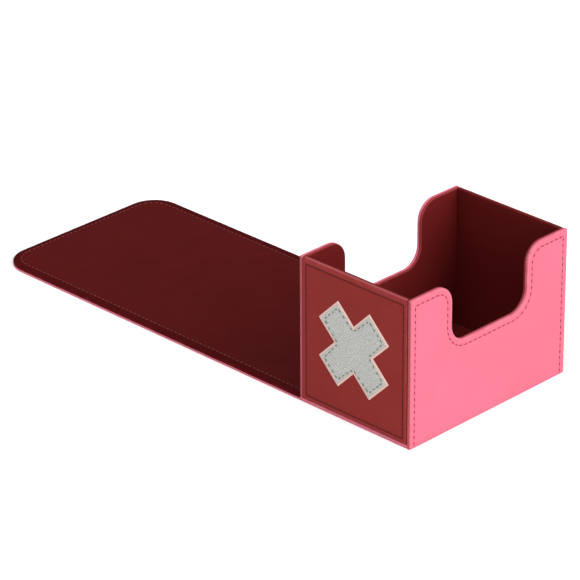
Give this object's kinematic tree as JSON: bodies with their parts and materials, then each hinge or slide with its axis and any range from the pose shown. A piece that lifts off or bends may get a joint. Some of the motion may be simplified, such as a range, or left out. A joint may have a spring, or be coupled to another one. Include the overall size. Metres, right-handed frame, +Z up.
{
  "type": "card deck box",
  "caption": "Open-topped leatherette card box with finger cutouts in both long sides and a hinged wrap-around cover whose lip closes over the front.",
  "frame": {"origin": "centre of the tray's underside, on the surface the open box lies on", "axes": "+Z up, +X outward from the wall that the lip closes on, the open cover lies flat towards -X, -Y outward from the wall with the cross patch"},
  "size_m": [0.2778, 0.1072, 0.0745],
  "materials": {
    "outer_leather": "smooth pink leatherette, satin, folded over the edges",
    "inner_lining": "dark maroon fine-grained lining, soft sheen",
    "panel_leather": "dark red leatherette, satin",
    "board": "grey bookbinding board, matte",
    "canvas": "pale woven canvas, matte",
    "wall_thread": "twisted dark rose thread",
    "panel_thread": "twisted dark maroon thread",
    "cover_thread": "twisted dusty red thread",
    "patch_thread": "grey-green thread",
    "steel": "plain steel disc",
    "magnet": "nickel-plated disc magnet"
  },
  "bodies": {
    "tray": {"base_leather": "outer_leather", "base_board": "board", "floor_board": "board", "floor_lining": "inner_lining", "right_wall_leather": "outer_leather", "right_wall_board": "board", "right_wall_lining": "inner_lining", "right_wall_seam": "wall_thread", "left_wall_leather": "outer_leather", "left_wall_board": "board", "left_wall_lining": "inner_lining", "left_wall_seam": "wall_thread", "front_wall_leather": "outer_leather", "front_wall_board": "board", "front_wall_lining": "inner_lining", "front_panel": "panel_leather", "front_panel_seam": "panel_thread", "rear_wall_leather": "outer_leather", "rear_wall_board": "board", "rear_wall_lining": "inner_lining", "rear_panel": "panel_leather", "rear_panel_seam": "panel_thread", "cross_patch": "canvas", "cross_patch_seam": "patch_thread", "keeper_plates": "steel"},
    "cover_back": {"base_fold_leather": "outer_leather", "base_fold_lining": "inner_lining", "cover_back_leather": "outer_leather", "cover_back_board": "board", "cover_back_lining": "inner_lining", "cover_back_seam": "cover_thread"},
    "cover_top": {"back_fold_leather": "outer_leather", "back_fold_lining": "inner_lining", "cover_top_leather": "outer_leather", "cover_top_board": "board", "cover_top_lining": "inner_lining", "cover_top_seam": "cover_thread"},
    "cover_lip": {"lip_fold_leather": "outer_leather", "lip_fold_lining": "inner_lining", "lip_leather": "outer_leather", "lip_board": "board", "lip_lining": "inner_lining", "lip_seam": "cover_thread", "lip_magnets": "magnet"}
  },
  "joints": [
    {"name": "base_fold", "type": "hinge", "parent": "tray", "child": "cover_back", "pos_m": [-0.0369, 0, 0.0006], "axis": [0, 1, 0], "range_deg": [0, 90], "deforming": ["base_fold_leather", "base_fold_lining"]},
    {"name": "back_fold", "type": "hinge", "parent": "cover_back", "child": "cover_top", "pos_m": [-0.1145, 0, 0.0006], "axis": [0, 1, 0], "range_deg": [0, 90], "deforming": ["back_fold_leather", "back_fold_lining"]},
    {"name": "lip_fold", "type": "hinge", "parent": "cover_top", "child": "cover_lip", "pos_m": [-0.1886, 0, 0.0006], "axis": [0, 1, 0], "range_deg": [0, 90], "deforming": ["lip_fold_leather", "lip_fold_lining"]}
  ]
}
